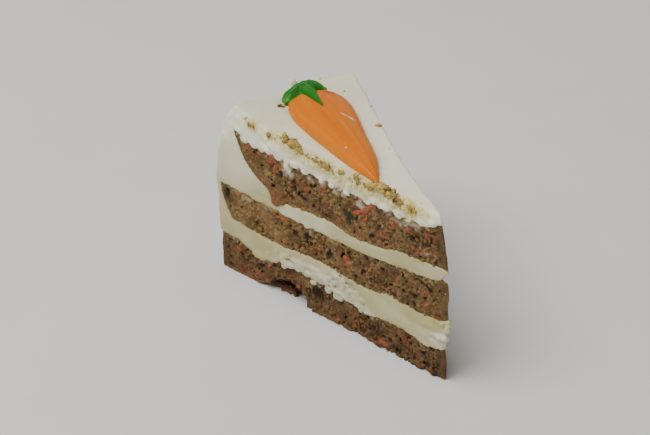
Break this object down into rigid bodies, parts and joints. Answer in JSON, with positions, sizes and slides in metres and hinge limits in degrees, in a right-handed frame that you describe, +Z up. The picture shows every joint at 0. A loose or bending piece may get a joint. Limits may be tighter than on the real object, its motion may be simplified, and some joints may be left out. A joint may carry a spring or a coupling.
{
  "type": "carrot cake slice",
  "caption": "Wedge of layered carrot cake with cream fillings, a cream coat over the top and rim, and a piped carrot with a green leaf.",
  "frame": {"origin": "under the middle of the slice's box, on the surface it stands on", "axes": "+Z up, +Y from the slice's tip towards its rim, +X to the right seen from the tip"},
  "size_m": [0.0648, 0.1236, 0.0837],
  "materials": {
    "sponge": "open brown crumb with carrot shreds and dark fruit",
    "filling": "pale yellow cream, smooth where cut and rough where dragged",
    "frosting": "ivory cream cheese frosting, spread smooth",
    "orange_icing": "glossy orange gel icing",
    "green_icing": "glossy green gel icing"
  },
  "bodies": {
    "root": {"sponge_bottom": "sponge", "filling_lower": "filling", "sponge_middle": "sponge", "filling_upper": "filling", "sponge_top": "sponge", "frosting": "frosting", "carrot": "orange_icing", "leaf": "green_icing"}
  },
  "joints": []
}
